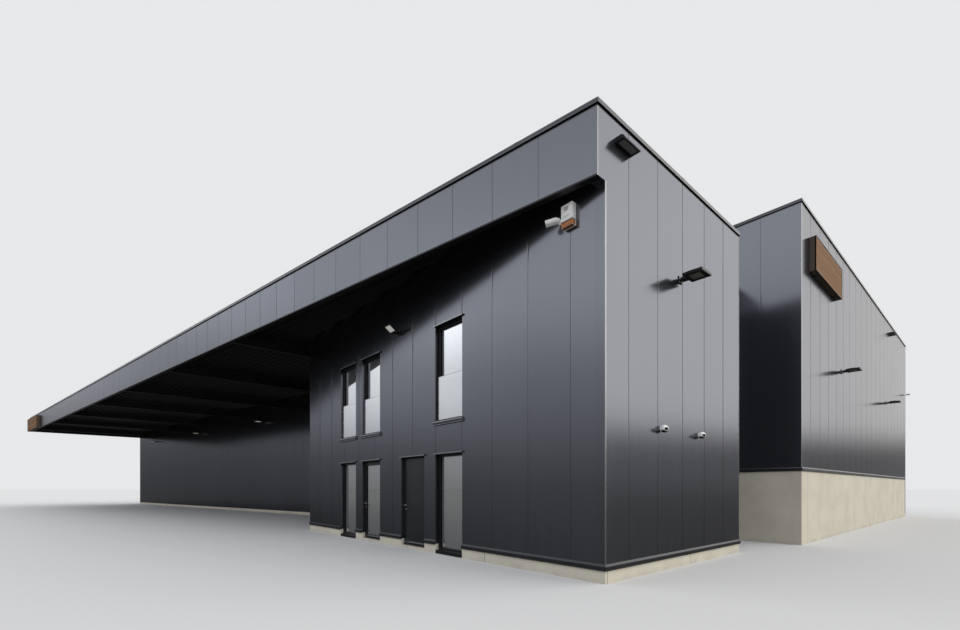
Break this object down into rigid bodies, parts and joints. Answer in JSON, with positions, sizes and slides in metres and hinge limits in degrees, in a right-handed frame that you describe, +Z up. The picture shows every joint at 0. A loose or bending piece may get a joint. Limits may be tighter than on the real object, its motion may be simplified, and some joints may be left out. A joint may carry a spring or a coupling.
{
  "type": "supermarket building, 1:2 scale model",
  "caption": "Metal-clad supermarket: a two-storey block, a hollow hall behind it and a long skewed canopy over a recessed wall, with hinged doors.",
  "frame": {"origin": "ground level at the block's near front corner, where the front wall's line meets the right wall's line", "axes": "+X to the right along the block's front wall, +Y back into the building, +Z up"},
  "size_m": [26.6871, 19.043, 4.741],
  "materials": {
    "wall_panels": "satin anthracite coated sheet",
    "dark_trim": "satin near-black coated sheet",
    "door_paint": "satin painted steel",
    "deck_sheet": "matte coated ribbed sheet",
    "beam_paint": "matte painted rolled steel",
    "precast_concrete": "smooth precast concrete",
    "floor_concrete": "power-floated concrete",
    "roof_membrane": "matte sheet membrane",
    "clear_glass": "clear glass",
    "handle_steel": "brushed",
    "light_housing": "matte cast housing",
    "camera_plastic": "satin white plastic",
    "sign_timber": "matte wood-look boards"
  },
  "bodies": {
    "building": {"block_floor": "floor_concrete", "upper_floor": "floor_concrete", "hall_floor": "floor_concrete", "thresholds": "precast_concrete", "front_plinth": "precast_concrete", "side_plinths": "precast_concrete", "hall_base_wall": "precast_concrete", "recess_plinth": "precast_concrete", "rear_plinths": "precast_concrete", "plinth_flashings": "dark_trim", "front_wall_right": "wall_panels", "front_wall_left": "wall_panels", "front_wall_piers": "wall_panels", "front_wall_spandrel": "wall_panels", "front_wall_upper_piers": "wall_panels", "front_wall_top": "wall_panels", "block_right_wall": "wall_panels", "block_left_wall": "wall_panels", "hall_front_wall": "wall_panels", "hall_right_wall": "wall_panels", "hall_back_wall": "wall_panels", "hall_left_wall": "wall_panels", "recess_wall": "wall_panels", "block_roof": "roof_membrane", "canopy_roof": "roof_membrane", "hall_roof": "roof_membrane", "canopy_deck": "deck_sheet", "canopy_beams": "beam_paint", "fascia": "wall_panels", "fascia_ends": "wall_panels", "canopy_copings": "dark_trim", "hall_copings": "dark_trim", "window_frames": "dark_trim", "window_glass": "clear_glass", "window_trims": "dark_trim", "door_frames": "dark_trim", "wall_lights": "light_housing", "cameras": "camera_plastic", "alarm_siren": "camera_plastic", "sign_boxes": "sign_timber"},
    "solid_door": {"solid_door": "door_paint", "solid_door_handle": "handle_steel"},
    "glazed_door": {"glazed_door": "dark_trim", "glazed_door_glass": "clear_glass", "glazed_door_handle": "handle_steel"}
  },
  "joints": [
    {"name": "solid_door_hinge", "type": "hinge", "parent": "building", "child": "solid_door", "pos_m": [-2.6085, 0.035, 0.6025], "axis": [0, 0, 1], "range_deg": [0, 90]},
    {"name": "glazed_door_hinge", "type": "hinge", "parent": "building", "child": "glazed_door", "pos_m": [-3.7185, 0.035, 0.6025], "axis": [0, 0, 1], "range_deg": [0, 90]}
  ]
}
